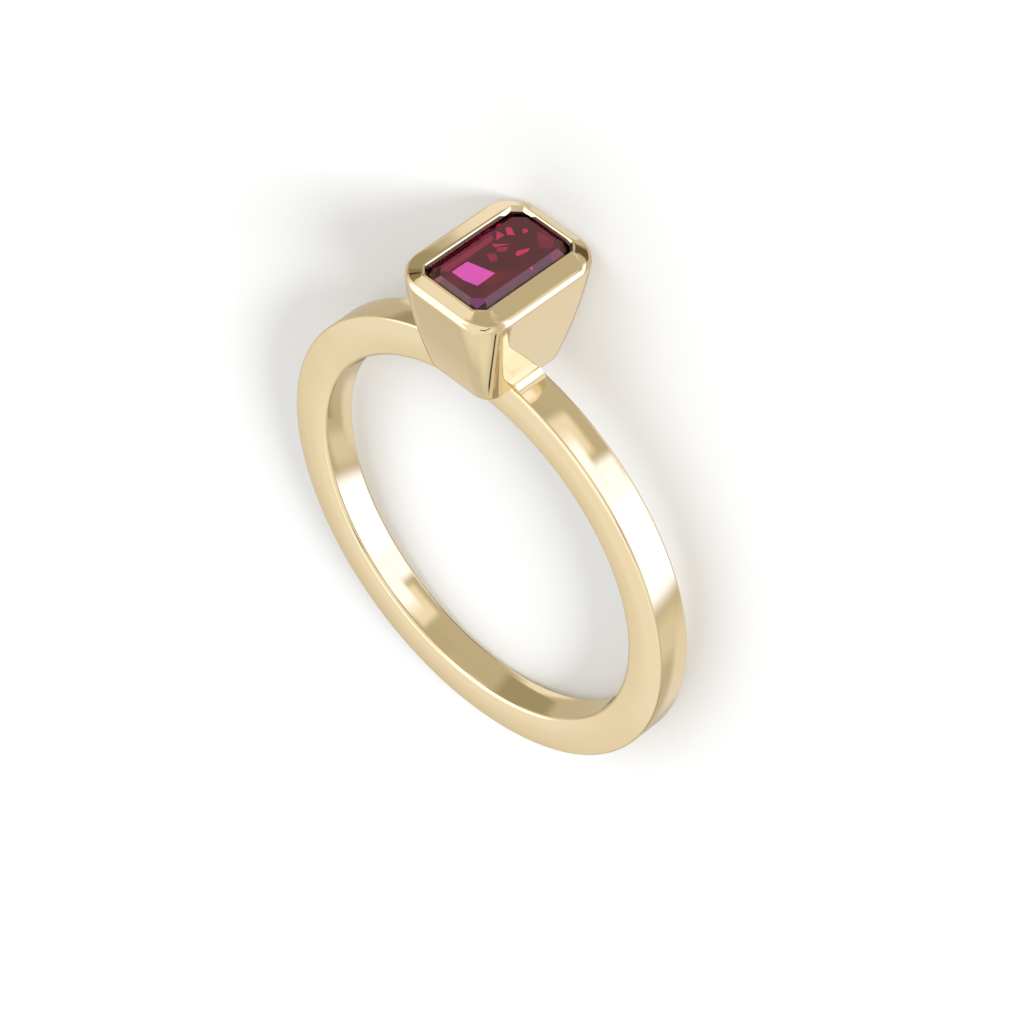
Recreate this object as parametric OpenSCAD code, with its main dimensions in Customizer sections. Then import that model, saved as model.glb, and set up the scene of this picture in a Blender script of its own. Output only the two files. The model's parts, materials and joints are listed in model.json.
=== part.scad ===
// Stacking ring: a plain flat gold band with a tall tapered bezel that holds an emerald cut stone.
// The ring lies on its side, on the rim of its bezel and the far edge of its band.

/* [Band] */
// Diameter of the finger hole
bore_d = 17.3; // [15:0.1:21]
// Thickness of the band, from the finger to the outside
band_t = 1.8; // [1.6:0.1:2.4]
// Width of the band along the finger
band_w = 1.6; // [1.4:0.1:1.8]
// Radius of the band's outer edges
band_edge = 0.1; // [0.05:0.01:0.2]

/* [Bezel] */
// Height of the lip above the outside of the band
lip_h = 5.1; // [4.8:0.1:6]
// Length of the rim round the band
rim_across = 5.1; // [4.9:0.1:5.4]
// Length of the rim along the finger
rim_along = 6.5; // [6.5:0.1:7]
// Corner radius of the rim, seen from above
rim_corner = 1.4; // [1.2:0.05:1.5]
// Radius that rolls the wall over into the bevel
rim_round = 0.3; // [0.2:0.05:0.35]
// Height of the lip above the middle of that radius
rim_drop = 0.5; // [0.45:0.01:0.6]
// Length of the foot round the band
foot_across = 3.55; // [3.3:0.05:3.8]
// Length of the foot along the finger
foot_along = 4.25; // [4:0.05:4.5]
// Corner radius of the foot
foot_corner = 0.75; // [0.6:0.05:0.9]
// Depth that the foot is let into the outside of the band
foot_sink = 0.1; // [0.05:0.05:0.3]
// Width of the solder fillet on the band
fillet_w = 0.38; // [0.1:0.02:0.5]
// Height of the solder fillet on the wall
fillet_h = 0.2; // [0.1:0.02:0.3]

/* [Lip and seat] */
// Opening of the lip round the band
lip_across = 3.28; // [3.1:0.02:3.4]
// Opening of the lip along the finger
lip_along = 5.3; // [5.1:0.02:5.4]
// Cut taken off each corner of the lip
lip_cut = 0.36; // [0.3:0.02:0.6]
// Flat top of the lip
lip_flat = 0.05; // [0.03:0.01:0.08]
// Width of the bevel inside the lip
lip_bevel_w = 0.1; // [0.05:0.01:0.12]
// Height of the bevel inside the lip
lip_bevel_h = 0.16; // [0.1:0.02:0.2]
// Gap between the stone and the metal
stone_gap = 0.05; // [0.03:0.01:0.08]
// Diameter of the light hole under the stone
light_hole_d = 1.0; // [0.6:0.1:1.2]

/* [Stone] */
// Width of the stone at its girdle
stone_across = 3.7; // [3.6:0.02:3.8]
// Length of the stone at its girdle
stone_along = 5.8; // [5.7:0.02:5.9]
// Cut taken off each corner of the girdle
stone_cut = 0.65; // [0.5:0.05:0.8]
// Height of the table above the lip
table_rise = 0.02; // [0:0.01:0.1]
// Thickness of the girdle
girdle_t = 0.1; // [0.06:0.01:0.14]

/* [Hidden] */

bore_r = bore_d / 2;
band_r = bore_r + band_t;
lip_z = band_r + lip_h;
rim_z = lip_z - rim_drop;
foot_z = band_r - foot_sink;

// The wall pulls in evenly for this share of its way, and ever faster towards the foot for the rest
straight = 0.6;
wall_rows = 8;
corner_steps = 8;
// The rim's radius ends where the bevel begins, at this angle above level
bevel_start = 66;
round_rows = 5;
fillet_steps = 6;
// The fillet stops short of the band's softened edges
fillet_len = band_w - 2 * band_edge;

// Levels of the stone: drop, inset across, inset along, corner cut
// The drop is counted from the table, and in the pavilion from the girdle's lower edge
table_row = [0, 0.68, 0.62, 0.36];
crown_row = [0.36, 0.27, 0.24, 0.5];
girdle_row = [0.6, 0, 0, stone_cut];
pavilion_rows = [
    [0.85, 0.55, 0.6, 0.5],
    [1.5, 1.2, 1.35, 0.3],
    [2.0, 1.82, 2.05, 0.02],
];
table_z = lip_z + table_rise;

// Angle that lays the rim and the far edge of the band on one level surface
rim_mid_y = rim_along / 2 - rim_round;
edge_mid_y = band_w / 2 - band_edge;
edge_mid_x = band_r - band_edge;
mid_span = norm([rim_z + edge_mid_x, rim_mid_y - edge_mid_y]);
lean = atan2(rim_mid_y - edge_mid_y, rim_z + edge_mid_x) + asin((rim_round - band_edge) / mid_span);
rest_lift = rim_mid_y * cos(lean) - rim_z * sin(lean) + rim_round;
far_x = lip_z * cos(lean) + (lip_along / 2 + lip_flat) * sin(lean);
near_x = -(edge_mid_x * cos(lean) + edge_mid_y * sin(lean) + band_edge);
rest_shift = -(far_x + near_x) / 2;

gold = "#e6cf9f";
ruby = "#8e1040";

// Share of the way from the rim to the foot that the wall has pulled in at depth t, from 0 to 1
function pull(t) = straight * t + (1 - straight) * t * t;

// Corner of a level outline: an arc of radius c, or a straight cut where flat is true
function corner(a, b, c, flat, k) =
    [for (i = [0 : corner_steps])
        let (s = i / corner_steps, u = 90 * (k + s), q = [cos(90 * k), sin(90 * k)], p = [-q[1], q[0]],
             mid = [(k % 3 == 0 ? 1 : -1) * (a - c), (k < 2 ? 1 : -1) * (b - c)])
        flat ? mid + c * ((1 - s) * q + s * p) : mid + c * [cos(u), sin(u)]];

// Level outline with half sizes a and b and corners of size c
function outline(a, b, c, flat) = [for (k = [0 : 3]) each corner(a, b, c, flat, k)];

// Outline with four straight cuts, as the stone and its seat have
function octagon(a, b, c) =
    [[a, b - c], [a - c, b], [c - a, b], [-a, b - c], [-a, c - b], [c - a, -b], [a - c, -b], [a, c - b]];

// Solid through level outlines round the Z axis that all have as many points
// Rows are [height, outline] from low to high, and each end is closed round a point on the axis
module loft(rows) {
    n = len(rows[0][1]);
    last = len(rows) - 1;
    foot = len(rows) * n;
    peak = foot + 1;
    rings = [for (row = rows) for (p = row[1]) [p[0], p[1], row[0]]];
    points = concat(rings, [[0, 0, rows[0][0]], [0, 0, rows[last][0]]]);
    sides = [for (r = [0 : last - 1]) for (i = [0 : n - 1])
        let (j = (i + 1) % n, low = r * n, high = low + n)
        each [[low + i, high + i, high + j], [low + i, high + j, low + j]]];
    bottom = [for (i = [0 : n - 1]) [i, (i + 1) % n, foot]];
    top = [for (i = [0 : n - 1]) [last * n + (i + 1) % n, last * n + i, peak]];
    polyhedron(points, concat(bottom, sides, top), convexity = 6);
}

// Puts what is drawn upright, head up and finger along Y, into the band's own level frame
module lay_down() {
    multmatrix([[0, 0, 1, 0], [-1, 0, 0, 0], [0, -1, 0, 0]]) children();
}

// Rests the ring on its rim and its band, with its middle over the origin
module rest() {
    translate([rest_shift, 0, rest_lift]) rotate([0, -lean, 0]) children();
}

// Band before the finger hole is bored: a disc with softened edges
module band_disc() {
    rotate_extrude($fn = 96)
        union() {
            translate([0, -band_w / 2]) square([edge_mid_x, band_w]);
            translate([0, -edge_mid_y]) square([band_r, 2 * edge_mid_y]);
            for (side = [-1, 1]) translate([edge_mid_x, side * edge_mid_y]) circle(r = band_edge, $fn = 32);
        }
}

// Tapered head with its rolled rim and its bevel, still without a seat
module head_blank() {
    wall = [for (i = [0 : wall_rows])
        let (t = 1 - i / wall_rows,
             a = (rim_across - (rim_across - foot_across) * pull(t)) / 2,
             b = (rim_along - (rim_along - foot_along) * pull(t)) / 2,
             c = rim_corner - (rim_corner - foot_corner) * t)
        [rim_z - t * (rim_z - foot_z), outline(a, b, c, false)]];
    roll = [for (i = [1 : round_rows])
        let (u = bevel_start * i / round_rows, inset = rim_round * (1 - cos(u)))
        [rim_z + rim_round * sin(u),
         outline(rim_across / 2 - inset, rim_along / 2 - inset, rim_corner - inset, false)]];
    lip = [[lip_z, outline(lip_across / 2 + lip_flat, lip_along / 2 + lip_flat, lip_cut, true)]];
    loft(concat(wall, roll, lip));
}

// Solder fillets between the foot and the outside of the band, on both sides of the head
module fillets() {
    out = foot_across / 2;
    root = [out, sqrt(band_r * band_r - out * out)];
    far = [out + fillet_w, sqrt(band_r * band_r - pow(out + fillet_w, 2))];
    hollow = [for (i = [0 : fillet_steps])
        let (s = i / fillet_steps)
        (1 - s) * (1 - s) * (root + [0, fillet_h]) + 2 * s * (1 - s) * root + s * s * far];
    sunk = [far - [0, foot_sink], root - [foot_sink, foot_sink], root + [-foot_sink, fillet_h]];
    for (side = [0, 1]) mirror([side, 0, 0]) rotate([90, 0, 0])
        linear_extrude(height = fillet_len, center = true) polygon(concat(hollow, sunk));
}

// Level rows of the stone, grown all round by gap, from the culet up to the table
function stone_row(drop, row, gap) =
    [table_z - drop,
     octagon(stone_across / 2 - row[1] + gap, stone_along / 2 - row[2] + gap, row[3] + gap / 2)];
function stone_rows(gap) = concat(
    [for (i = [2 : -1 : 0])
        stone_row(girdle_row[0] + girdle_t + pavilion_rows[i][0] + gap, pavilion_rows[i], gap)],
    [stone_row(girdle_row[0] + girdle_t + gap, girdle_row, gap)],
    [stone_row(girdle_row[0] - gap, girdle_row, gap)],
    [stone_row(crown_row[0] - gap, crown_row, gap)],
    [stone_row(table_row[0] - gap, table_row, gap)]);

// Hollow for the stone: its own form with a gap, the opening of the lip and the light hole
module seat() {
    loft(stone_rows(stone_gap));
    loft([for (row = [[table_z - girdle_row[0], lip_bevel_w], [lip_z - lip_bevel_h, lip_bevel_w],
                      [lip_z, 0], [lip_z + 1, 0]])
        [row[0], octagon(lip_across / 2 - row[1], lip_along / 2 - row[1], lip_cut)]]);
    cylinder(d = light_hole_d, h = rim_z - light_hole_d, $fn = 48);
}

// Gold body: the band with the bezel soldered on, one solid, bored for the finger
module band_and_bezel() {
    color(gold) rest() difference() {
        union() {
            band_disc();
            lay_down() head_blank();
            lay_down() fillets();
        }
        cylinder(r = bore_r, h = 2 * band_w, center = true, $fn = 96);
        lay_down() seat();
    }
}

// Red emerald cut stone: table, two crown steps, girdle and three pavilion steps
module stone() {
    color(ruby) rest() lay_down() loft(stone_rows(0));
}

band_and_bezel();
stone();
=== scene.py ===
"""Looks of the stacking ring: polished yellow gold and a red emerald cut stone, on a pale floor."""
import json
import logging
import math
from dataclasses import dataclass, field
from enum import Enum

import bmesh
import bpy
from mathutils import Matrix, Vector


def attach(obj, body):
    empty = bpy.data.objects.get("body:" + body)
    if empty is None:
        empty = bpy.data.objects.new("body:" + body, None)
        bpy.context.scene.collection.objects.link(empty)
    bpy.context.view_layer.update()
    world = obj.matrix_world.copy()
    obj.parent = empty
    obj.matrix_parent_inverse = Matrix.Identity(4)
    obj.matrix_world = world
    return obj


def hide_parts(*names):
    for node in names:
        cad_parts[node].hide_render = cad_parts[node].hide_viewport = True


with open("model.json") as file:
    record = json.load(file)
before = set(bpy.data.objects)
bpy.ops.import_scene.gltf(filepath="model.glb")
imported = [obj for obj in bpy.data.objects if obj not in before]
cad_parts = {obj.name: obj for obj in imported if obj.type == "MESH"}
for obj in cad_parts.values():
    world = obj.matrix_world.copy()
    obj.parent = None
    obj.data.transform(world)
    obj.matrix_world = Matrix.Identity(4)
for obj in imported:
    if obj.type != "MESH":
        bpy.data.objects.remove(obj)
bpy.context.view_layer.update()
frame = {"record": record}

LOG = logging.getLogger("stacking_ring")
MILLIMETRE = 0.001
HALF_TURN = 180.0
# Points of the ring that are closer than this, in millimetres, are one
SAME_SPOT = 1e-5

# Points of a level outline, and levels of a solid as pairs of height and outline
Outline = list[tuple[float, float]]
Rows = list[tuple[float, Outline]]


class Piece(Enum):
    """Names of the pieces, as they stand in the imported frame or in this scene."""

    BODY = "root"
    GOLD_NODE = "band_and_bezel"
    STONE_NODE = "stone"
    GOLD = "polished_band_and_bezel"
    STONE = "step_cut_stone"
    FLOOR = "studio_floor"


class Slot(Enum):
    """Material slots of the record."""

    GOLD = "gold"
    RUBY = "ruby"


@dataclass(frozen=True)
class RingFrame:
    """The ring's own upright frame, in millimetres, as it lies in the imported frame.

    X runs round the band at the head, Y along the finger, away from the side that shows,
    and Z from the middle of the finger hole through the head.
    """

    middle: Vector
    finger: Vector

    @classmethod
    def from_record(cls, record: dict) -> "RingFrame":
        """Reads the ring's own frame off the finger hole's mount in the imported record."""
        bore = next(mount for mount in record["mounts"] if mount["name"] == "finger_bore")
        return cls(Vector(bore["pos_m"]), -Vector(bore["axis"]).normalized())

    def matrix(self) -> Matrix:
        """Gives the transform from the ring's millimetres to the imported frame's metres.

        Returns:
            A 4 by 4 matrix.
        """
        tangent = Vector((0.0, -1.0, 0.0))
        head = tangent.cross(self.finger)
        turn = Matrix((tangent, self.finger, head)).transposed().to_4x4()
        return Matrix.Translation(self.middle) @ turn @ Matrix.Scale(MILLIMETRE, 4)


@dataclass(frozen=True)
class BandSizes:
    """Sizes of the band in millimetres."""

    bore_r: float = 8.65
    thickness: float = 1.8
    width: float = 1.6
    outer_edge: float = 0.1
    inner_edge: float = 0.16
    steps: int = 360
    edge_segments: int = 5

    @property
    def outer_r(self) -> float:
        """Radius of the outside of the band."""
        return self.bore_r + self.thickness


@dataclass(frozen=True)
class BezelSizes:
    """Sizes of the bezel head in millimetres, and the bevel's start in degrees.

    They are those of the part's source, but for fuller solder fillets and a softened foot.
    """

    lip_z: float = 15.55
    rim_across: float = 5.1
    rim_along: float = 6.5
    rim_corner: float = 1.4
    rim_round: float = 0.3
    rim_drop: float = 0.5
    foot_z: float = 10.35
    foot_across: float = 3.55
    foot_along: float = 4.25
    foot_corner: float = 0.75
    foot_round: float = 0.05
    straight: float = 0.6
    bevel_start: float = 66.0
    lip_across: float = 3.28
    lip_along: float = 5.3
    lip_cut: float = 0.36
    lip_flat: float = 0.05
    fillet_w: float = 0.4
    fillet_h: float = 0.22
    fillet_hollow: float = 0.45
    fillet_flare: float = 0.05
    fillet_sink: float = 0.1
    fillet_steps: int = 12
    wall_rows: int = 40
    roll_rows: int = 12
    bevel_rows: int = 8
    edge_rows: int = 3
    corner_steps: int = 20
    side_steps: int = 12

    @property
    def rim_z(self) -> float:
        """Height of the middle of the rim's radius."""
        return self.lip_z - self.rim_drop


def octagon(half_across: float, half_along: float, cut: float) -> Outline:
    """Gives a level outline with four straight corner cuts.

    Args:
        half_across: Half size round the band.
        half_along: Half size along the finger.
        cut: Corner cut.

    Returns:
        Eight points, anticlockwise seen from above.
    """
    quarter = [(half_across, half_along - cut), (half_across - cut, half_along)]
    half = quarter + [(-x, y) for x, y in reversed(quarter)]
    return half + [(-x, -y) for x, y in half]


@dataclass(frozen=True)
class StoneSizes:
    """Levels of the emerald cut stone in millimetres, as in the part's source.

    A level is a drop, an inset round the band, an inset along the finger and a corner cut. The drop is
    counted from the table, and in the pavilion from the girdle's lower edge.
    """

    across: float = 3.7
    along: float = 5.8
    table_z: float = 15.57
    table: tuple = (0.0, 0.68, 0.62, 0.36)
    crown: tuple = (0.36, 0.27, 0.24, 0.5)
    girdle: tuple = (0.6, 0.0, 0.0, 0.65)
    girdle_t: float = 0.1
    pavilion: tuple = ((0.85, 0.55, 0.6, 0.5), (1.5, 1.2, 1.35, 0.3), (2.0, 1.82, 2.05, 0.02))

    def rows(self, gap: float = 0.0) -> Rows:
        """Gives the level outlines from the culet up to the table.

        Args:
            gap: Width that the form is grown by all round.

        Returns:
            Pairs of height and outline.
        """
        below = self.girdle[0] + self.girdle_t
        lower = [(-below - drop - gap, *rest) for drop, *rest in reversed(self.pavilion)]
        lower.append((-below - gap, *self.girdle[1:]))
        upper = [(-drop + gap, *rest) for drop, *rest in (self.girdle, self.crown, self.table)]
        half_across, half_along = self.across / 2 + gap, self.along / 2 + gap
        return [(self.table_z + z, octagon(half_across - across, half_along - along, cut + gap / 2))
                for z, across, along, cut in lower + upper]


@dataclass(frozen=True)
class SeatSizes:
    """Sizes of the hollow that holds the stone, in millimetres, as in the part's source."""

    gap: float = 0.05
    lip_bevel_w: float = 0.1
    lip_bevel_h: float = 0.16
    light_hole_r: float = 0.5
    light_hole_sides: int = 48
    light_hole_stop: float = 1.0
    above: float = 1.0


def rounded(half_across: float, half_along: float, corner: float, corner_steps: int, side_steps: int,
            blend: float = 0.0) -> Outline:
    """Gives a level outline with rounded corners and evenly divided sides.

    Args:
        half_across: Half size round the band.
        half_along: Half size along the finger.
        corner: Corner radius.
        corner_steps: Divisions of each corner.
        side_steps: Divisions of each side.
        blend: Share of the way from round corners, 0, to straight cuts, 1.

    Returns:
        The points, anticlockwise seen from above.
    """
    points = []
    across, along = half_across - corner, half_along - corner
    signs = ((1, 1), (-1, 1), (-1, -1), (1, -1))
    for quarter, (sign_x, sign_y) in enumerate(signs):
        middle = Vector((sign_x * across, sign_y * along))
        start = Matrix.Rotation(math.pi / 2 * quarter, 2) @ Vector((1.0, 0.0))
        end = Matrix.Rotation(math.pi / 2, 2) @ start
        for i in range(corner_steps + 1):
            share = i / corner_steps
            arc = Matrix.Rotation(math.pi / 2 * (quarter + share), 2) @ Vector((1.0, 0.0))
            chord = start.lerp(end, share)
            points.append(middle + corner * arc.lerp(chord, blend))
        next_x, next_y = signs[(quarter + 1) % len(signs)]
        following = Vector((next_x * across, next_y * along)) + corner * end
        last = points[-1]
        points += [last.lerp(following, j / side_steps) for j in range(1, side_steps)]
    return [tuple(p) for p in points]


def loft(rows: Rows) -> bmesh.types.BMesh:
    """Builds a closed solid through level outlines that have as many points each.

    Args:
        rows: Pairs of height and outline, from low to high.

    Returns:
        The solid as a bmesh, in the ring's upright millimetres.
    """
    bm = bmesh.new()
    low_z, low = rows[0]
    ring = bmesh.ops.create_circle(bm, cap_ends=False, segments=len(low), radius=1.0)["verts"]
    ring.sort(key=lambda v: math.atan2(v.co.y, v.co.x) % math.tau)
    for vert, (x, y) in zip(ring, low):
        vert.co = (x, y, low_z)
    edges = list(bm.edges)
    bmesh.ops.contextual_create(bm, geom=edges)
    for z, outline in rows[1:]:
        raised = bmesh.ops.extrude_edge_only(bm, edges=edges)["geom"]
        following = [e for e in raised if isinstance(e, bmesh.types.BMEdge)]
        pairs, low_ring = {}, set(ring)
        for vert in (v for v in raised if isinstance(v, bmesh.types.BMVert)):
            below = next(e.other_vert(vert) for e in vert.link_edges if e.other_vert(vert) in low_ring)
            pairs[below] = vert
        ring = [pairs[v] for v in ring]
        for vert, (x, y) in zip(ring, outline):
            vert.co = (x, y, z)
        edges = following
    bmesh.ops.contextual_create(bm, geom=edges)
    bmesh.ops.recalc_face_normals(bm, faces=bm.faces)
    return bm


def to_object(bm: bmesh.types.BMesh, name: str, place: Matrix | None = None) -> bpy.types.Object:
    """Makes an object of a bmesh and frees it.

    Args:
        bm: The shape.
        name: Name of the object and its mesh.
        place: Transform that is applied to the mesh.

    Returns:
        The new object, at the origin.
    """
    mesh = bpy.data.meshes.new(name)
    if place is not None:
        bm.transform(place)
    bm.to_mesh(mesh)
    bm.free()
    made = bpy.data.objects.new(name, mesh)
    bpy.context.scene.collection.objects.link(made)
    return made


class Join(Enum):
    """Ways to combine two solids."""

    ADD = "UNION"
    CUT = "DIFFERENCE"


def combine(base: bpy.types.Object, tool: bpy.types.Object, way: Join) -> None:
    """Adds a solid to another or cuts it away, and deletes the tool.

    Args:
        base: The solid that is changed.
        tool: The solid that is added or cut away.
        way: Which of the two.
    """
    modifier = base.modifiers.new(way.value.lower(), "BOOLEAN")
    modifier.operation = way.value
    modifier.solver = "EXACT"
    modifier.object = tool
    graph = bpy.context.evaluated_depsgraph_get()
    done = bpy.data.meshes.new_from_object(base.evaluated_get(graph))
    base.modifiers.clear()
    spent = base.data
    base.data = done
    bpy.data.meshes.remove(spent)
    bpy.data.objects.remove(tool)


def feed(links: bpy.types.NodeLinks, socket: bpy.types.NodeSocket,
         value: bpy.types.NodeSocket | float | tuple) -> None:
    """Leads another socket to an input, or sets the input.

    Args:
        links: The tree's links.
        socket: The input.
        value: A socket, a number or a colour.
    """
    if isinstance(value, bpy.types.NodeSocket):
        links.new(value, socket)
    else:
        socket.default_value = value


def math_node(nodes: bpy.types.Nodes, links: bpy.types.NodeLinks, operation: str,
              *values: bpy.types.NodeSocket | float) -> bpy.types.NodeSocket:
    """Adds a Math node.

    Args:
        nodes: The tree's nodes.
        links: The tree's links.
        operation: What it works out.
        values: A socket or a number for each input.

    Returns:
        The result.
    """
    node = nodes.new("ShaderNodeMath")
    node.operation = operation
    for socket, value in zip(node.inputs, values):
        feed(links, socket, value)
    return node.outputs[0]


def colour_node(nodes: bpy.types.Nodes, links: bpy.types.NodeLinks, mask: bpy.types.NodeSocket,
                below: bpy.types.NodeSocket | tuple, above: bpy.types.NodeSocket | tuple
                ) -> bpy.types.NodeSocket:
    """Adds a Mix node that lays one colour over another.

    Args:
        nodes: The tree's nodes.
        links: The tree's links.
        mask: How much of the upper colour shows, from 0 to 1.
        below: The lower colour.
        above: The upper colour.

    Returns:
        The mixed colour.
    """
    node = nodes.new("ShaderNodeMix")
    node.data_type = "RGBA"
    feed(links, node.inputs[0], mask)
    feed(links, node.inputs[6], below)
    feed(links, node.inputs[7], above)
    return node.outputs[2]


@dataclass(frozen=True)
class HandPolish:
    """The faint unevenness that polishing leaves: slow waves and fine hairlines."""

    name: str = "hand_polish"
    wave_detail: float = 1.0
    hairline_detail: float = 3.0
    hairline_stretch: float = 14.0
    lowest_noise: float = 0.35
    highest_noise: float = 0.75

    def group(self) -> bpy.types.ShaderNodeTree:
        """Makes the shader node group that the finishes share, once.

        Returns:
            The group, with a tone from 0 to 1, a roughness and a height.
        """
        if self.name in bpy.data.node_groups:
            return bpy.data.node_groups[self.name]
        tree = bpy.data.node_groups.new(self.name, "ShaderNodeTree")
        for socket in ("Wave Size", "Hairline Size", "Smoothest", "Roughest"):
            tree.interface.new_socket(socket, in_out="INPUT", socket_type="NodeSocketFloat")
        for socket in ("Tone", "Roughness", "Height"):
            tree.interface.new_socket(socket, in_out="OUTPUT", socket_type="NodeSocketFloat")
        nodes, links = tree.nodes, tree.links
        given = nodes.new("NodeGroupInput")
        result = nodes.new("NodeGroupOutput")
        place = nodes.new("ShaderNodeTexCoord")
        waves = self.noise(tree, place.outputs["Object"], given.outputs["Wave Size"], self.wave_detail)
        stretched = nodes.new("ShaderNodeMapping")
        stretched.inputs["Scale"].default_value = (1.0, 1.0, self.hairline_stretch)
        links.new(place.outputs["Object"], stretched.inputs["Vector"])
        hairlines = self.noise(tree, stretched.outputs["Vector"], given.outputs["Hairline Size"],
                               self.hairline_detail)
        rough = nodes.new("ShaderNodeMapRange")
        rough.inputs["From Min"].default_value = self.lowest_noise
        rough.inputs["From Max"].default_value = self.highest_noise
        links.new(hairlines, rough.inputs["Value"])
        links.new(given.outputs["Smoothest"], rough.inputs["To Min"])
        links.new(given.outputs["Roughest"], rough.inputs["To Max"])
        links.new(waves, result.inputs["Tone"])
        links.new(rough.outputs["Result"], result.inputs["Roughness"])
        links.new(waves, result.inputs["Height"])
        return tree

    def noise(self, tree: bpy.types.ShaderNodeTree, place: bpy.types.NodeSocket,
              size: bpy.types.NodeSocket, detail: float) -> bpy.types.NodeSocket:
        """Adds a noise whose grain has a given size.

        Args:
            tree: The tree that the nodes go into.
            place: Where the noise is read.
            size: Size of the grain in metres.
            detail: Number of finer layers.

        Returns:
            The noise, from 0 to 1.
        """
        noise = tree.nodes.new("ShaderNodeTexNoise")
        noise.inputs["Detail"].default_value = detail
        tree.links.new(place, noise.inputs["Vector"])
        tree.links.new(math_node(tree.nodes, tree.links, "DIVIDE", 1.0, size), noise.inputs["Scale"])
        return noise.outputs["Fac"]

    def add(self, material: bpy.types.Material, wave_size: float, hairline_size: float,
            roughness: tuple, wave_height: float) -> bpy.types.Node:
        """Places the group in a material, and leads its roughness and waves to the shader.

        Args:
            material: The material, with a Principled BSDF.
            wave_size: Length of the slow waves in metres.
            hairline_size: Width of the hairlines in metres.
            roughness: Lowest and highest roughness.
            wave_height: Height of the waves in metres.

        Returns:
            The group's node.
        """
        nodes, links = material.node_tree.nodes, material.node_tree.links
        shader = nodes["Principled BSDF"]
        polish = nodes.new("ShaderNodeGroup")
        polish.node_tree = self.group()
        polish.inputs["Wave Size"].default_value = wave_size
        polish.inputs["Hairline Size"].default_value = hairline_size
        polish.inputs["Smoothest"].default_value, polish.inputs["Roughest"].default_value = roughness
        bump = nodes.new("ShaderNodeBump")
        bump.inputs["Distance"].default_value = wave_height
        links.new(polish.outputs["Roughness"], shader.inputs["Roughness"])
        links.new(polish.outputs["Height"], bump.inputs["Height"])
        links.new(bump.outputs["Normal"], shader.inputs["Normal"])
        return polish

    def tint(self, material: bpy.types.Material, polish: bpy.types.Node, first: tuple,
             second: tuple) -> bpy.types.NodeSocket:
        """Varies the base colour between two tones.

        Args:
            material: The material.
            polish: The group's node.
            first: Colour where the tone is 0.
            second: Colour where the tone is 1.

        Returns:
            The varied colour.
        """
        nodes, links = material.node_tree.nodes, material.node_tree.links
        colour = colour_node(nodes, links, polish.outputs["Tone"], first, second)
        links.new(colour, nodes["Principled BSDF"].inputs["Base Color"])
        return colour


@dataclass(frozen=True)
class PolishedGold:
    """Mirror polished pale yellow gold with the faint unevenness of hand polish."""

    pale: tuple = (0.945, 0.815, 0.57, 1.0)
    deep: tuple = (0.915, 0.785, 0.53, 1.0)
    roughness: tuple = (0.02, 0.07)
    wave_size: float = 0.003
    wave_height: float = 0.000012
    hairline_size: float = 0.00012

    def build(self) -> bpy.types.Material:
        """Makes the material.

        Returns:
            The gold material.
        """
        material = bpy.data.materials.new("polished_gold")
        material.use_nodes = True
        material.node_tree.nodes["Principled BSDF"].inputs["Metallic"].default_value = 1.0
        finish = HandPolish()
        polish = finish.add(material, self.wave_size, self.hairline_size, self.roughness, self.wave_height)
        finish.tint(material, polish, self.pale, self.deep)
        return material


class PaintedMark(Enum):
    """Names of the stone's face attributes: the amounts of painted light and painted shade on a facet."""

    FLASH = "flash"
    PAINTED_GLINT = "glint"
    PAINTED_SPARK = "spark"
    PAINTED_SHADE = "veil"


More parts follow.
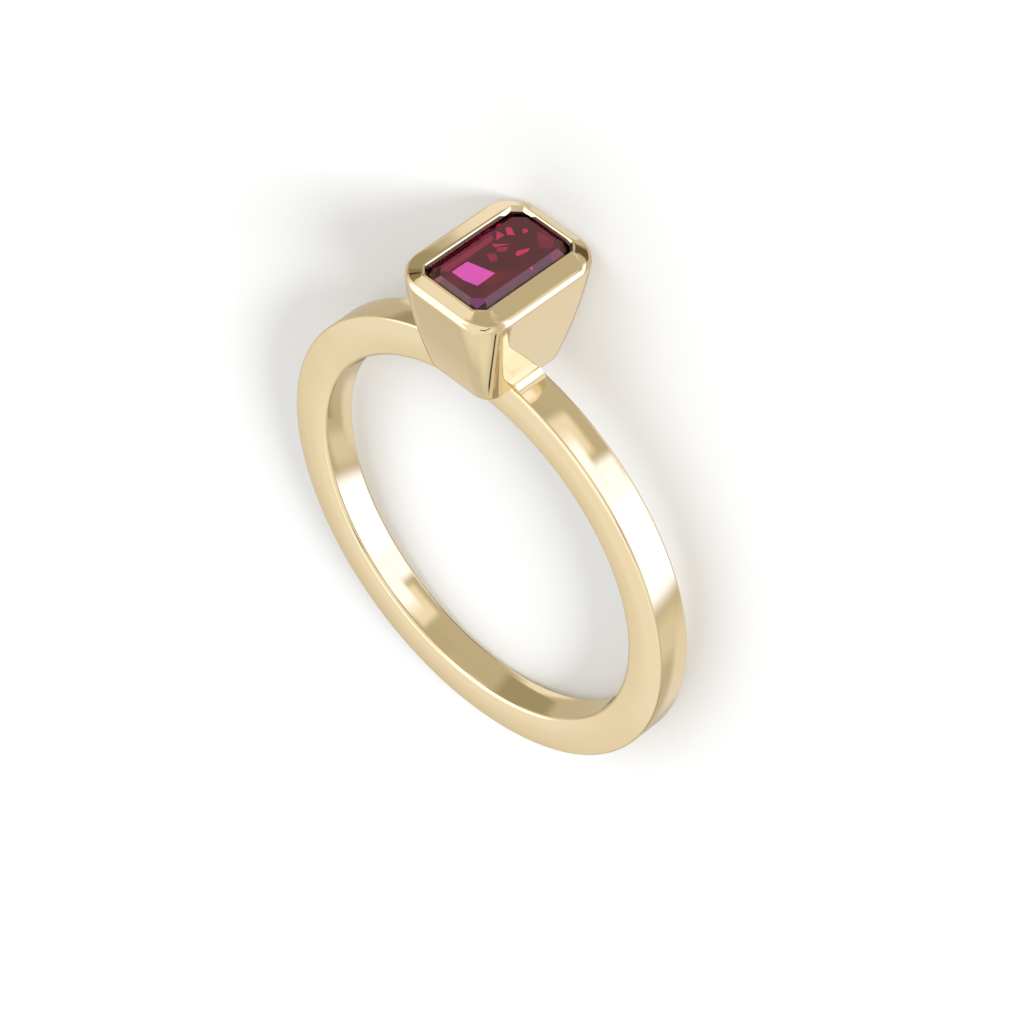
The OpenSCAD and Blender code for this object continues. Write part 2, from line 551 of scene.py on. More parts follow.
@dataclass(frozen=True)
class Ruby:
    """Deep wine red polished corundum, with pink and red painted light, as emission, in some of its facets.

    The painted flash shows on facets that are met at painted_flash_facing, give or take
    painted_flash_spread.
    The painted glints show on those that are met more aslant than painted_glint_facing, and the painted
    sparks on the others. None shows in a ray with more bounces than deepest, so that no facet shows them
    again. The painted shade, a near black base colour on the crown's corner facets, dims a second image of
    the painted flash.
    """

    pink: tuple = (0.28, 0.02, 0.075, 1.0)
    wine: tuple = (0.18, 0.01, 0.04, 1.0)
    absorbed: tuple = (0.90, 0.30, 0.60, 1.0)
    absorption: float = 150.0
    ior: float = 1.77
    gloss: float = 0.2
    clarity: float = 0.75
    roughness: tuple = (0.0, 0.015)
    zone_size: float = 0.0012
    wave_height: float = 0.0000004
    hairline_size: float = 0.00006
    # Painted light: emission colours and strength of the painted flash and glints
    flash: tuple = (0.66, 0.37, 1.0, 1.0)
    glint: tuple = (0.50, 0.06, 0.20, 1.0)
    painted_glow_strength: float = 2.8
    painted_flash_facing: float = 0.15
    painted_flash_spread: float = 0.055
    painted_glint_facing: float = 0.055
    # Painted shade: near black base colour of the crown's corner facets
    veil: tuple = (0.02, 0.002, 0.005, 1.0)
    deepest: float = 1.5

    def build(self) -> bpy.types.Material:
        """Makes the material.

        Returns:
            The stone's material.
        """
        material = bpy.data.materials.new("ruby")
        material.use_nodes = True
        nodes, links = material.node_tree.nodes, material.node_tree.links
        shader = nodes["Principled BSDF"]
        shader.inputs["IOR"].default_value = self.ior
        shader.inputs["Specular IOR Level"].default_value = self.gloss
        shader.inputs["Transmission Weight"].default_value = self.clarity
        shader.inputs["Emission Strength"].default_value = self.painted_glow_strength
        finish = HandPolish()
        polish = finish.add(material, self.zone_size, self.hairline_size, self.roughness, self.wave_height)
        tone = finish.tint(material, polish, self.pink, self.wine)
        # Painted shade: the crown's corner facets get a near black base colour
        painted_shade_tone = colour_node(nodes, links, self.amount(nodes, PaintedMark.PAINTED_SHADE), tone, self.veil)
        links.new(painted_shade_tone, shader.inputs["Base Color"])
        # Painted light: the marked facets glow as emission
        links.new(self.painted_mark(nodes, links), shader.inputs["Emission Color"])
        depth = nodes.new("ShaderNodeVolumeAbsorption")
        depth.inputs["Color"].default_value = self.absorbed
        depth.inputs["Density"].default_value = self.absorption
        links.new(depth.outputs[0], nodes["Material Output"].inputs["Volume"])
        return material

    def painted_mark(self, nodes: bpy.types.Nodes, links: bpy.types.NodeLinks) -> bpy.types.NodeSocket:
        """Gives the painted light, an emission colour, that the marked facets show.

        Args:
            nodes: The material's nodes.
            links: The material's links.

        Returns:
            The painted light's colour.
        """
        # Painted flash, glints and sparks: each shows by how aslant its facet is met, and only in rays of
        # at most one bounce
        facing = nodes.new("ShaderNodeLayerWeight").outputs["Facing"]
        depth = nodes.new("ShaderNodeLightPath").outputs["Ray Depth"]
        first = math_node(nodes, links, "LESS_THAN", depth, self.deepest)
        square = math_node(nodes, links, "COMPARE", facing, self.painted_flash_facing, self.painted_flash_spread)
        steep = math_node(nodes, links, "GREATER_THAN", facing, self.painted_glint_facing)
        level = math_node(nodes, links, "SUBTRACT", 1.0, steep)
        light = (0.0, 0.0, 0.0, 1.0)
        for mark, angle, colour in ((PaintedMark.FLASH, square, self.flash), (PaintedMark.PAINTED_GLINT, steep, self.glint),
                                    (PaintedMark.PAINTED_SPARK, level, self.glint)):
            seen = math_node(nodes, links, "MULTIPLY", self.amount(nodes, mark), angle)
            mask = math_node(nodes, links, "MULTIPLY", seen, first)
            light = colour_node(nodes, links, mask, light, colour)
        return light

    def amount(self, nodes: bpy.types.Nodes, painted_mark: PaintedMark) -> bpy.types.NodeSocket:
        """Reads how much painted light or painted shade a facet has.

        Args:
            nodes: The material's nodes.
            painted_mark: Which painted light or shade.

        Returns:
            The amount, from 0 to 1.
        """
        read = nodes.new("ShaderNodeAttribute")
        read.attribute_name = painted_mark.value
        return read.outputs["Fac"]


@dataclass
class GoldBody:
    """The gold piece: the band, and the bezel that is soldered to it."""

    place: Matrix
    band: BandSizes = field(default_factory=BandSizes)
    bezel: BezelSizes = field(default_factory=BezelSizes)
    seat: SeatSizes = field(default_factory=SeatSizes)
    stone: StoneSizes = field(default_factory=StoneSizes)
    finish: PolishedGold = field(default_factory=PolishedGold)
    smooth_angle: float = 32.0

    def band_shape(self) -> bmesh.types.BMesh:
        """Spins the band's softened rectangular section round the finger.

        Returns:
            The band in the ring's upright millimetres.
        """
        sizes = self.band
        bm = bmesh.new()
        section = bmesh.ops.create_grid(bm, x_segments=1, y_segments=1, size=0.5)["verts"]
        bmesh.ops.scale(bm, vec=(sizes.thickness, sizes.width, 1.0), verts=section)
        middle = sizes.bore_r + sizes.thickness / 2
        bmesh.ops.translate(bm, vec=(middle, 0.0, 0.0), verts=section)
        inner = [v for v in section if v.co.x < middle]
        outer = [v for v in section if v.co.x > middle]
        for corners, radius in ((inner, sizes.inner_edge), (outer, sizes.outer_edge)):
            bmesh.ops.bevel(bm, geom=corners, offset=radius, offset_type="OFFSET", profile=0.5,
                            segments=sizes.edge_segments, affect="VERTICES", material=-1)
        bmesh.ops.delete(bm, geom=list(bm.faces), context="FACES_ONLY")
        bmesh.ops.spin(bm, geom=list(bm.verts) + list(bm.edges), cent=(0.0, 0.0, 0.0), axis=(0.0, 1.0, 0.0),
                       angle=math.tau, steps=sizes.steps, use_merge=True, use_duplicate=False)
        bmesh.ops.remove_doubles(bm, verts=bm.verts, dist=SAME_SPOT)
        bmesh.ops.recalc_face_normals(bm, faces=bm.faces)
        return bm

    def pulled(self, depth: float) -> float:
        """Gives the share of its way that the wall has pulled in, at a depth from 0 to 1 at the foot."""
        return self.bezel.straight * depth + (1.0 - self.bezel.straight) * depth ** 2

    def wall_outline(self, depth: float, inset: float = 0.0) -> Outline:
        """Gives the wall's level outline.

        Args:
            depth: Depth below the rim, from 0 to 1 at the foot.
            inset: How far inside the wall the outline lies.

        Returns:
            The outline's points.
        """
        sizes = self.bezel
        across = sizes.rim_across - (sizes.rim_across - sizes.foot_across) * self.pulled(depth)
        along = sizes.rim_along - (sizes.rim_along - sizes.foot_along) * self.pulled(depth)
        corner = sizes.rim_corner - (sizes.rim_corner - sizes.foot_corner) * depth
        return rounded(across / 2 - inset, along / 2 - inset, corner - inset,
                       sizes.corner_steps, sizes.side_steps)

    def head_shape(self) -> bmesh.types.BMesh:
        """Lofts the tapered head, its rolled rim and its bevel.

        Returns:
            The head without its seat, in the ring's upright millimetres.
        """
        sizes = self.bezel
        rows = []
        for i in range(sizes.edge_rows):
            angle = math.pi / 2 * i / sizes.edge_rows
            rows.append((sizes.foot_z + sizes.foot_round * (1.0 - math.cos(angle)),
                         self.wall_outline(1.0, sizes.foot_round * (1.0 - math.sin(angle)))))
        top_of_edge = 1.0 - sizes.foot_round / (sizes.rim_z - sizes.foot_z)
        for i in range(sizes.wall_rows + 1):
            depth = top_of_edge * (1.0 - i / sizes.wall_rows)
            rows.append((sizes.rim_z - depth * (sizes.rim_z - sizes.foot_z), self.wall_outline(depth)))
        for i in range(1, sizes.roll_rows + 1):
            angle = math.radians(sizes.bevel_start * i / sizes.roll_rows)
            rows.append((sizes.rim_z + sizes.rim_round * math.sin(angle),
                         self.wall_outline(0.0, sizes.rim_round * (1.0 - math.cos(angle)))))
        low_z, low = rows[-1]
        high = rounded(sizes.lip_across / 2 + sizes.lip_flat, sizes.lip_along / 2 + sizes.lip_flat,
                       sizes.lip_cut, sizes.corner_steps, sizes.side_steps, blend=1.0)
        for i in range(1, sizes.bevel_rows + 1):
            share = i / sizes.bevel_rows
            rows.append((low_z + (sizes.lip_z - low_z) * share,
                         [tuple(Vector(p).lerp(Vector(q), share)) for p, q in zip(low, high)]))
        return loft(rows)

    def fillet_shape(self, side: float) -> bmesh.types.BMesh:
        """Extrudes the solder fillet between the foot and the outside of the band.

        Args:
            side: 1 or -1, the side of the head.

        Returns:
            The fillet in the ring's upright millimetres.
        """
        sizes = self.bezel
        out = sizes.foot_across / 2
        root = Vector((out, 0.0, math.sqrt(self.band.outer_r ** 2 - out ** 2)))
        reach = out + sizes.fillet_w
        low = Vector((reach, 0.0, math.sqrt(self.band.outer_r ** 2 - reach ** 2)))
        high = root + Vector((sizes.fillet_flare, 0.0, sizes.fillet_h))
        pull = high.lerp(low, 0.5).lerp(root, sizes.fillet_hollow)
        shares = [i / sizes.fillet_steps for i in range(sizes.fillet_steps + 1)]
        curve = [high.lerp(pull, share).lerp(pull.lerp(low, share), share) for share in shares]
        inwards, down = Vector((-sizes.fillet_sink, 0.0, 0.0)), Vector((0.0, 0.0, -sizes.fillet_sink))
        section = curve + [low + down, root + inwards + down, high + inwards]
        half = self.band.width / 2 - self.band.outer_edge
        bm = bmesh.new()
        verts = [bm.verts.new((side * p.x, -half, p.z)) for p in section]
        face = bm.faces.new(verts)
        raised = bmesh.ops.extrude_face_region(bm, geom=[face])["geom"]
        moved = [v for v in raised if isinstance(v, bmesh.types.BMVert)]
        bmesh.ops.translate(bm, vec=(0.0, 2 * half, 0.0), verts=moved)
        bmesh.ops.recalc_face_normals(bm, faces=bm.faces)
        return bm

    def opening_shape(self) -> bmesh.types.BMesh:
        """Lofts the opening of the lip, with the bevel inside it.

        Returns:
            The opening in the ring's upright millimetres.
        """
        bezel, seat = self.bezel, self.seat
        low = self.stone.table_z - self.stone.girdle[0]
        levels = ((low, seat.lip_bevel_w), (bezel.lip_z - seat.lip_bevel_h, seat.lip_bevel_w),
                  (bezel.lip_z, 0.0), (bezel.lip_z + seat.above, 0.0))
        # An outline that shrinks by 1 all round loses this much of its corner cut
        even = 2.0 - math.sqrt(2.0)
        across, along = bezel.lip_across / 2, bezel.lip_along / 2
        return loft([(z, octagon(across - inset, along - inset, bezel.lip_cut - even * inset))
                     for z, inset in levels])

    def light_hole_shape(self) -> bmesh.types.BMesh:
        """Makes the light hole, from the middle of the finger hole up into the seat.

        Returns:
            The hole in the ring's upright millimetres.
        """
        seat = self.seat
        top = self.bezel.rim_z - seat.light_hole_stop
        middle = Matrix.Translation((0.0, 0.0, top / 2))
        bm = bmesh.new()
        bmesh.ops.create_cone(bm, cap_ends=True, segments=seat.light_hole_sides, radius1=seat.light_hole_r,
                              radius2=seat.light_hole_r, depth=top, matrix=middle)
        return bm

    def build(self) -> bpy.types.Object:
        """Joins the band and the head, cuts the hollows, and places and dresses the piece.

        Returns:
            The gold piece.
        """
        gold = to_object(self.band_shape(), Piece.GOLD.value)
        combine(gold, to_object(self.head_shape(), "head"), Join.ADD)
        for side in (1.0, -1.0):
            combine(gold, to_object(self.fillet_shape(side), "fillet"), Join.ADD)
        combine(gold, to_object(loft(self.stone.rows(self.seat.gap)), "seat"), Join.CUT)
        combine(gold, to_object(self.opening_shape(), "opening"), Join.CUT)
        combine(gold, to_object(self.light_hole_shape(), "light_hole"), Join.CUT)
        gold.data.transform(self.place)
        self.dress(gold)
        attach(gold, Piece.BODY.value)
        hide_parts(Piece.GOLD_NODE.value)
        return gold

    def dress(self, gold: bpy.types.Object) -> None:
        """Shades the piece smoothly between its sharp edges, and gives it its finish.

        Args:
            gold: The gold piece.
        """
        gold.data.materials.clear()
        gold.data.materials.append(self.finish.build())
        for polygon in gold.data.polygons:
            polygon.use_smooth = True
        gold.data.set_sharp_from_angle(angle=math.radians(self.smooth_angle))
        weighted = gold.modifiers.new("even_faces", "WEIGHTED_NORMAL")
        weighted.mode = "FACE_AREA"
        weighted.keep_sharp = True


@dataclass(frozen=True)
class Slice:
    """A facet that is cut across the pavilion.

    It has a facing and a steepness in degrees, and a point that it passes through, which is counted in
    millimetres from the middle of the table.
    """

    facing: float
    steepness: float
    through: tuple


@dataclass(frozen=True)
class PaintedGlimmer:
    """A part of the pavilion that glows with painted light, with its corners as seen through the table."""

    painted_mark: PaintedMark
    amount: float
    corners: tuple


@dataclass
class GemCut:
    """The emerald cut stone: a table, two crown steps, a girdle and a pavilion with crossing facets.

    A painted glimmer's corners lie on the table, and seen_along is the way that the photograph looks
    through it.
    The last two numbers tell the crown's corner facets, with painted shade, from the others by their
    normals.
    """

    place: Matrix
    sizes: StoneSizes = field(default_factory=StoneSizes)
    finish: Ruby = field(default_factory=Ruby)
    slices: tuple = (
        Slice(150.0, 47.0, (-0.75, 1.15, -1.95)),
        Slice(35.0, 46.0, (0.65, 1.35, -2.0)),
        Slice(118.0, 41.0, (-0.1, 1.55, -2.15)),
        Slice(62.0, 43.0, (0.2, 1.6, -2.1)),
        Slice(90.0, 38.0, (0.0, 1.75, -2.0)),
        Slice(-38.0, 45.0, (0.6, -1.5, -2.0)),
        Slice(-142.0, 45.0, (-0.6, -1.6, -1.95)),
        Slice(-90.0, 40.0, (0.0, -1.7, -2.05)),
    )
    seen_along: tuple = (-0.25, 0.28, -0.93)
    # Painted light: patches of the pavilion that glow pink and red
    painted_glimmers: tuple = (
        PaintedGlimmer(PaintedMark.FLASH, 1.0, ((-0.72, -1.98), (0.44, -1.62), (0.43, -0.65), (-0.71, -1.0))),
        PaintedGlimmer(PaintedMark.PAINTED_GLINT, 0.8, ((-1.1, 0.98), (-0.76, 0.6), (-0.74, 1.04))),
        PaintedGlimmer(PaintedMark.PAINTED_GLINT, 1.0, ((-1.0, 1.35), (-0.68, 1.12), (-0.46, 1.32), (-0.85, 1.5))),
        PaintedGlimmer(PaintedMark.PAINTED_GLINT, 0.8, ((-0.75, 0.34), (-0.55, 0.3), (-0.25, 0.88))),
        PaintedGlimmer(PaintedMark.PAINTED_GLINT, 0.45, ((-0.5, 0.36), (-0.3, 0.2), (-0.1, 0.5), (-0.2, 0.7))),
        PaintedGlimmer(PaintedMark.PAINTED_SPARK, 1.0, ((0.1, 0.66), (0.37, 0.6), (0.5, 1.18), (0.38, 1.22))),
        PaintedGlimmer(PaintedMark.PAINTED_GLINT, 0.8, ((-0.52, 1.75), (-0.3, 1.62), (-0.24, 1.84), (-0.4, 1.9))),
        PaintedGlimmer(PaintedMark.PAINTED_SPARK, 0.8, ((-0.52, 1.75), (-0.3, 1.62), (-0.24, 1.84), (-0.4, 1.9))),
        PaintedGlimmer(PaintedMark.PAINTED_GLINT, 0.35, ((-0.48, -0.18), (-0.12, -0.38), (0.02, -0.1), (-0.3, 0.12))),
        PaintedGlimmer(PaintedMark.PAINTED_GLINT, 0.3, ((-1.1, -2.2), (-0.8, -1.9), (-0.84, 0.6), (-1.06, 0.7))),
        PaintedGlimmer(PaintedMark.PAINTED_GLINT, 0.2, ((-0.2, 2.0), (0.7, 1.5), (1.05, 1.9), (0.7, 2.25))),
    )
    crown_normal: float = 0.1
    corner_normal: float = 0.2

    def build(self) -> bpy.types.Object:
        """Lofts the steps, cuts crossing facets, marks painted light and shade, and places and dresses the
        stone.

        Returns:
            The stone.
        """
        bm = loft(self.sizes.rows())
        for cut in self.slices:
            self.cut_facet(bm, cut)
        layers = {painted_mark: bm.faces.layers.float.new(painted_mark.value) for painted_mark in PaintedMark}
        for painted_glimmer in self.painted_glimmers:
            self.mark(bm, painted_glimmer, layers[painted_glimmer.painted_mark])
        bmesh.ops.recalc_face_normals(bm, faces=bm.faces)
        self.paint_corner_shade(bm, layers[PaintedMark.PAINTED_SHADE])
        stone = to_object(bm, Piece.STONE.value, self.place)
        stone.data.materials.append(self.finish.build())
        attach(stone, Piece.BODY.value)
        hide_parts(Piece.STONE_NODE.value)
        return stone

    def paint_corner_shade(self, bm: bmesh.types.BMesh, layer: bmesh.types.BMLayerItem) -> None:
        """Marks the crown's corner facets for painted shade, as they would show the painted flash a second
        time.

        Args:
            bm: The stone.
            layer: The layer that holds the painted shade.
        """
        for face in bm.faces:
            x, y, z = face.normal
            if z > self.crown_normal and min(abs(x), abs(y)) > self.corner_normal:
                face[layer] = 1.0

    def cut_facet(self, bm: bmesh.types.BMesh, cut: Slice) -> None:
        """Cuts one facet across the pavilion.

        Args:
            bm: The stone.
            cut: The facet.
        """
        around, tilt = math.radians(cut.facing), math.radians(cut.steepness)
        level = Vector((math.cos(around), math.sin(around), 0.0))
        out = level * math.sin(tilt) - Vector((0.0, 0.0, math.cos(tilt)))
        spot = Vector(cut.through) + Vector((0.0, 0.0, self.sizes.table_z))
        geometry = list(bm.verts) + list(bm.edges) + list(bm.faces)
        made = bmesh.ops.bisect_plane(bm, geom=geometry, dist=SAME_SPOT, plane_co=spot, plane_no=out,
                                      clear_outer=True)
        rim = [e for e in made["geom_cut"] if isinstance(e, bmesh.types.BMEdge)]
        bmesh.ops.contextual_create(bm, geom=rim)

    def mark(self, bm: bmesh.types.BMesh, painted_glimmer: PaintedGlimmer, layer: bmesh.types.BMLayerItem) -> None:
        """Parts the pavilion's facets round a painted glimmer and marks what lies inside it.

        Args:
            bm: The stone.
            painted_glimmer: The painted glimmer, whose corners run anticlockwise.
            layer: The layer that holds its amount.
        """
        bm.normal_update()
        deep = self.sizes.table_z - self.sizes.girdle[0] - self.sizes.girdle_t
        inside = [f for f in bm.faces if f.calc_center_median().z < deep]
        along = Vector(self.seen_along)
        corners = [Vector((x, y, self.sizes.table_z)) for x, y in painted_glimmer.corners]
        sides = [(start, along.cross(end - start).normalized())
                 for start, end in zip(corners, corners[1:] + corners[:1])]
        for i, (start, out) in enumerate(sides):
            kept = set(inside)
            edges = [e for e in bm.edges if kept.intersection(e.link_faces)]
            verts = [v for v in bm.verts if kept.intersection(v.link_faces)]
            bmesh.ops.bisect_plane(bm, geom=verts + edges + inside, dist=SAME_SPOT, plane_co=start,
                                   plane_no=out)
            inside = [f for f in bm.faces
                      if f.calc_center_median().z < deep and self.within(f, sides[:i + 1])]
        for face in inside:
            face[layer] = painted_glimmer.amount

    def within(self, face: bmesh.types.BMFace, sides: list[tuple[Vector, Vector]]) -> bool:
        """Tells whether a facet's middle lies inside the given sides of a painted glimmer."""
        middle = face.calc_center_median()
        return all(out.dot(middle - start) < 0.0 for start, out in sides)


@dataclass(frozen=True)
class PhotoCamera:
    """The photograph's view of the ring, in the ring's upright millimetres and degrees."""

    azimuth: float = 42.06
    elevation: float = 48.49
    roll: float = 3.27
    distance: float = 140.8
    aim_right: float = 1.075
    aim_up: float = 0.764
    lens: float = 121.3
    sensor: float = 36.0
    nearest: float = 0.01

    def build(self, place: Matrix) -> bpy.types.Object:
        """Makes the camera and sets it as the scene's own.

        Args:
            place: Transform from the ring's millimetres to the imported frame.

        Returns:
            The camera.
        """
        around, above = math.radians(self.azimuth), math.radians(self.elevation)
        back = Vector((math.sin(around) * math.cos(above), -math.cos(around) * math.cos(above),
                       math.sin(above)))
        right = Vector((math.cos(around), math.sin(around), 0.0))
        up = back.cross(right)
        roll = Matrix.Rotation(math.radians(self.roll), 3, back)
        right, up = roll @ right, roll @ up
        spot = back * self.distance + right * self.aim_right + up * self.aim_up
        turn = place.to_3x3().normalized()
        data = bpy.data.cameras.new("photo_camera")
        data.lens = self.lens
        data.sensor_width = self.sensor
        data.clip_start = self.nearest
        camera = bpy.data.objects.new("photo_camera", data)
        basis = Matrix((turn @ right, turn @ up, turn @ back)).transposed().to_4x4()
        camera.matrix_world = Matrix.Translation(place @ spot) @ basis
        bpy.context.scene.collection.objects.link(camera)
        bpy.context.scene.camera = camera
        return camera


def direction(azimuth: float, elevation: float) -> Vector:
    """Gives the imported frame's direction at degrees from +X towards +Y and degrees above level."""
    around, above = math.radians(azimuth), math.radians(elevation)
    return Vector((math.cos(around) * math.cos(above), math.sin(around) * math.cos(above), math.sin(above)))


@dataclass(frozen=True)
class Panel:
    """A soft light or dark panel of the studio, far away, with its place and sizes in degrees."""

    name: str
    azimuth: float
    elevation: float
    half_width: float
    half_height: float
    soft_width: float
    soft_height: float
    colour: tuple
    turn: float = 0.0


@dataclass(frozen=True)
class Surroundings:
    """What the metal and the stone mirror: a pale tent, with panels set into it.

    A row of the tent is a height in degrees above level and its colour. The panels lie over one another
    in their order.
    """

    tent: tuple = (
        (-90.0, (0.62, 0.56, 0.46)),
        (-16.0, (0.56, 0.50, 0.39)),
        (-7.0, (0.75, 0.67, 0.57)),
        (-2.0, (0.71, 0.64, 0.53)),
        (3.0, (0.66, 0.60, 0.49)),
        (12.0, (0.65, 0.59, 0.48)),
        (16.0, (0.74, 0.68, 0.58)),
        (22.0, (0.83, 0.77, 0.67)),
        (27.0, (0.92, 0.87, 0.79)),
        (90.0, (0.93, 0.91, 0.86)),
    )
    panels: tuple = (
        Panel("left_fill", -150.0, -46.0, 34.0, 12.0, 14.0, 1.5, (0.82, 0.76, 0.68)),
        Panel("left_step", -122.0, -30.0, 12.0, 5.0, 8.0, 2.0, (0.76, 0.70, 0.60)),
        Panel("left_level", -162.0, 14.0, 14.0, 10.0, 9.0, 8.0, (0.87, 0.82, 0.70)),
        Panel("overhead", 92.0, 51.5, 72.0, 16.0, 12.0, 3.0, (1.6, 1.6, 1.6)),
        Panel("front", -74.5, -28.0, 27.5, 17.0, 7.0, 6.0, (1.35, 1.42, 1.85)),
        Panel("front_step", -19.0, -21.0, 10.5, 7.0, 3.0, 2.0, (0.93, 0.86, 0.76)),
        Panel("front_low", -36.0, -17.0, 16.0, 6.0, 8.0, 2.0, (1.3, 1.34, 1.6)),
        Panel("foot_light", -43.0, -29.0, 9.0, 6.5, 3.5, 2.0, (1.3, 1.34, 1.6)),
        Panel("front_deep", -42.0, -43.5, 34.0, 7.0, 6.0, 1.0, (1.3, 1.34, 1.6)),
        Panel("under_light", 78.0, -46.0, 22.0, 15.5, 9.0, 1.0, (0.95, 0.89, 0.82), -8.0),
        Panel("under_dark", 21.0, -58.0, 37.0, 9.0, 6.0, 3.0, (0.14, 0.10, 0.05)),
        Panel("left_flag", 65.0, -10.0, 20.0, 19.35, 5.0, 0.4, (0.38, 0.33, 0.22)),
        Panel("left_flag_core", 52.0, 6.0, 13.0, 12.0, 3.0, 1.5, (0.27, 0.22, 0.13)),
        Panel("left_flag_line", 53.0, 4.0, 8.0, 2.0, 2.0, 1.0, (0.06, 0.04, 0.02)),
        Panel("far_edge", 147.5, -34.0, 8.0, 6.0, 5.0, 5.0, (0.08, 0.06, 0.03)),
        Panel("camera_side", -2.0, 10.0, 28.0, 17.0, 2.5, 3.0, (0.52, 0.46, 0.34)),
        Panel("camera_low", 2.0, -10.0, 9.0, 11.0, 2.5, 2.5, (0.54, 0.48, 0.36)),
        Panel("camera_dark", -86.0, 51.0, 12.0, 8.0, 4.0, 2.5, (0.04, 0.03, 0.02)),
        Panel("camera_dark_arm", -64.0, 36.5, 17.0, 3.0, 3.0, 2.0, (0.06, 0.05, 0.03), -28.6),
        Panel("front_corner_shade", -160.0, -19.0, 14.0, 10.0, 2.5, 2.0, (0.38, 0.33, 0.23)),
        Panel("front_corner_line", -157.0, -1.6, 13.0, 1.5, 3.0, 0.7, (0.05, 0.04, 0.02)),
    )

    def window(self, nodes: bpy.types.Nodes, links: bpy.types.NodeLinks, angle: bpy.types.NodeSocket,
               half: float, soft: float) -> bpy.types.NodeSocket:
        """Gives 1 where an angle lies within a half width of 0, with a soft end.

        Args:
            nodes: The tree's nodes.
            links: The tree's links.
            angle: The angle in degrees.
            half: The half width in degrees.
            soft: Half the width of the soft end in degrees.

        Returns:
            The mask.
        """
        span = nodes.new("ShaderNodeMapRange")
        span.interpolation_type = "SMOOTHSTEP"
        span.inputs["From Min"].default_value = half + soft
        span.inputs["From Max"].default_value = half - soft
        links.new(math_node(nodes, links, "ABSOLUTE", angle), span.inputs["Value"])
        return span.outputs["Result"]

    def build(self) -> None:
        """Sets the world: the tent and its panels, and plain white where the camera sees past the floor."""
        world = bpy.data.worlds.new("studio")
        world.use_nodes = True
        nodes, links = world.node_tree.nodes, world.node_tree.links
        place = nodes.new("ShaderNodeTexCoord")
        split = nodes.new("ShaderNodeSeparateXYZ")
        links.new(place.outputs["Generated"], split.inputs[0])
        x, y, z = split.outputs
        azimuth = math_node(nodes, links, "DEGREES", math_node(nodes, links, "ARCTAN2", y, x))
        elevation = math_node(nodes, links, "DEGREES", math_node(nodes, links, "ARCSINE", z))
        ramp = nodes.new("ShaderNodeValToRGB")
        ramp.color_ramp.interpolation = "EASE"
        while len(ramp.color_ramp.elements) < len(self.tent):
            ramp.color_ramp.elements.new(0.5)
        for element, (level, colour) in zip(ramp.color_ramp.elements, self.tent):
            element.position = level / HALF_TURN + 0.5
            element.color = colour + (1.0,)
        height = math_node(nodes, links, "MULTIPLY_ADD", elevation, 1.0 / HALF_TURN, 0.5)
        links.new(height, ramp.inputs[0])
        seen = ramp.outputs["Color"]
        for panel in self.panels:
            across = math_node(nodes, links, "SUBTRACT", azimuth, panel.azimuth)
            across = math_node(nodes, links, "WRAP", across, HALF_TURN, -HALF_TURN)
            along = math_node(nodes, links, "SUBTRACT", elevation, panel.elevation)
            slope = math.tan(math.radians(panel.turn))
            along = math_node(nodes, links, "MULTIPLY_ADD", across, -slope, along)
            mask = math_node(nodes, links, "MULTIPLY",
                             self.window(nodes, links, across, panel.half_width, panel.soft_width),
                             self.window(nodes, links, along, panel.half_height, panel.soft_height))
            seen = colour_node(nodes, links, mask, seen, panel.colour + (1.0,))
            seen.node.name = panel.name
        camera = nodes.new("ShaderNodeLightPath").outputs["Is Camera Ray"]
        plain = colour_node(nodes, links, camera, seen, (1.0, 1.0, 1.0, 1.0))
        links.new(plain, nodes["Background"].inputs["Color"])
        bpy.context.scene.world = world


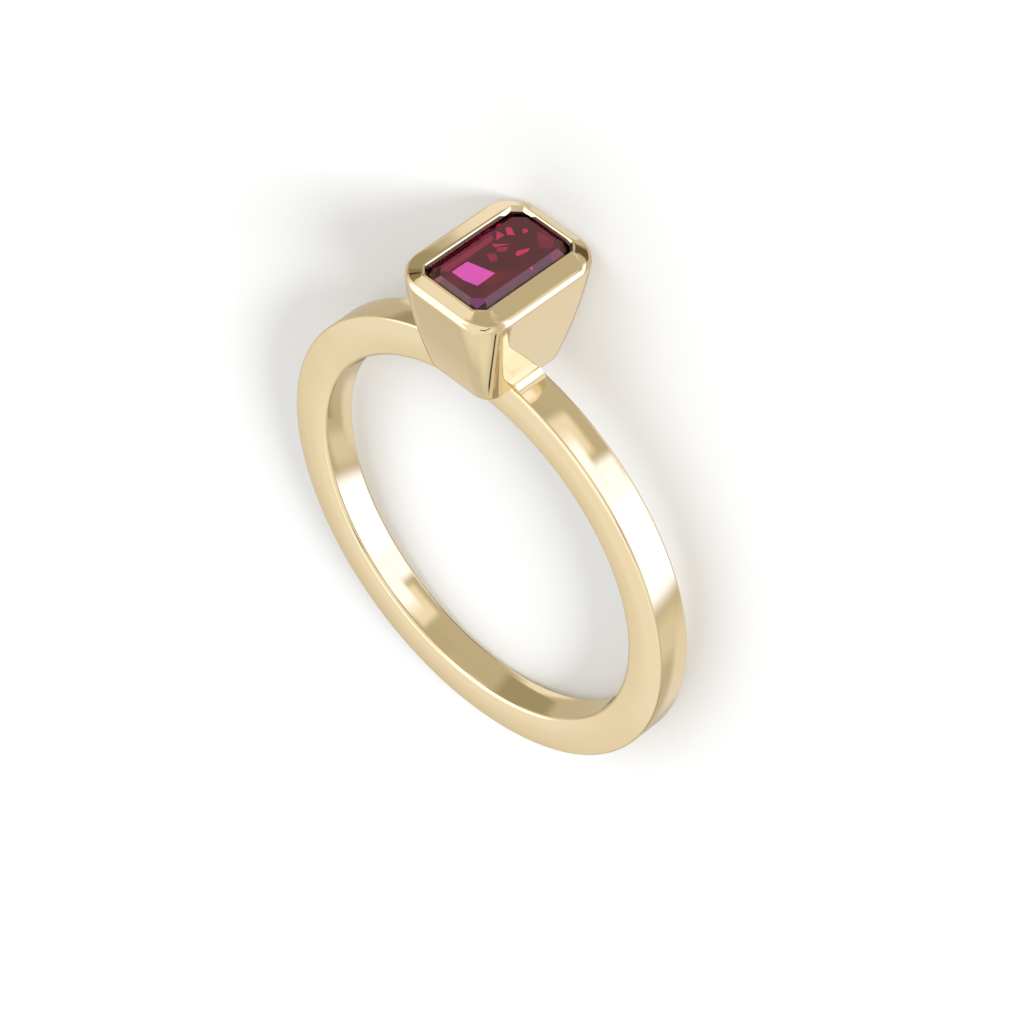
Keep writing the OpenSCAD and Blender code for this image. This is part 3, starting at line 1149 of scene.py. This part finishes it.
@dataclass(frozen=True)
class Studio:
    """Plain pale floor and plain pale soft light."""

    surroundings: Surroundings = field(default_factory=Surroundings)
    floor_half: float = 0.6
    floor_colour: tuple = (0.765, 0.785, 0.815, 1.0)
    key_azimuth: float = -58.0
    key_elevation: float = 22.0
    key_softness: float = 16.0
    key_strength: float = 3.0

    def floor(self) -> bpy.types.Object:
        """Makes the floor that the ring lies on, which only the camera sees, so that it mirrors nowhere.

        Returns:
            The floor.
        """
        bm = bmesh.new()
        bmesh.ops.create_grid(bm, x_segments=1, y_segments=1, size=self.floor_half)
        made = to_object(bm, Piece.FLOOR.value)
        material = bpy.data.materials.new("pale_floor")
        material.use_nodes = True
        nodes, links = material.node_tree.nodes, material.node_tree.links
        shader = nodes["Principled BSDF"]
        shader.inputs["Base Color"].default_value = self.floor_colour
        shader.inputs["Roughness"].default_value = 1.0
        shader.inputs["Specular IOR Level"].default_value = 0.0
        ray = nodes.new("ShaderNodeLightPath")
        clear = nodes.new("ShaderNodeBsdfTransparent")
        either = nodes.new("ShaderNodeMixShader")
        links.new(ray.outputs["Is Camera Ray"], either.inputs[0])
        links.new(clear.outputs[0], either.inputs[1])
        links.new(shader.outputs[0], either.inputs[2])
        links.new(either.outputs[0], nodes["Material Output"].inputs["Surface"])
        made.data.materials.append(material)
        return made

    def key_light(self) -> bpy.types.Object:
        """Makes the soft light that casts the shadow; it shows in no reflection.

        Returns:
            The light.
        """
        data = bpy.data.lights.new("key", "SUN")
        data.angle = math.radians(self.key_softness)
        data.energy = self.key_strength
        light = bpy.data.objects.new("key", data)
        light.rotation_mode = "QUATERNION"
        light.rotation_quaternion = direction(self.key_azimuth, self.key_elevation).to_track_quat("Z", "Y")
        light.visible_glossy = False
        light.visible_transmission = False
        bpy.context.scene.collection.objects.link(light)
        return light

    def build(self) -> None:
        """Makes the floor, the surroundings and the light."""
        self.floor()
        self.surroundings.build()
        self.key_light()
        bpy.context.scene.view_settings.view_transform = "Standard"


def main() -> None:
    """Builds the scene piece by piece."""
    logging.basicConfig(level=logging.INFO, format="%(name)s: %(message)s")
    place = RingFrame.from_record(frame["record"]).matrix()
    PhotoCamera().build(place)
    Studio().build()
    for sub_assembly in (GoldBody(place), GemCut(place)):
        piece = sub_assembly.build()
        LOG.info("%s: %d faces", piece.name, len(piece.data.polygons))


if __name__ == "__main__":
    main()
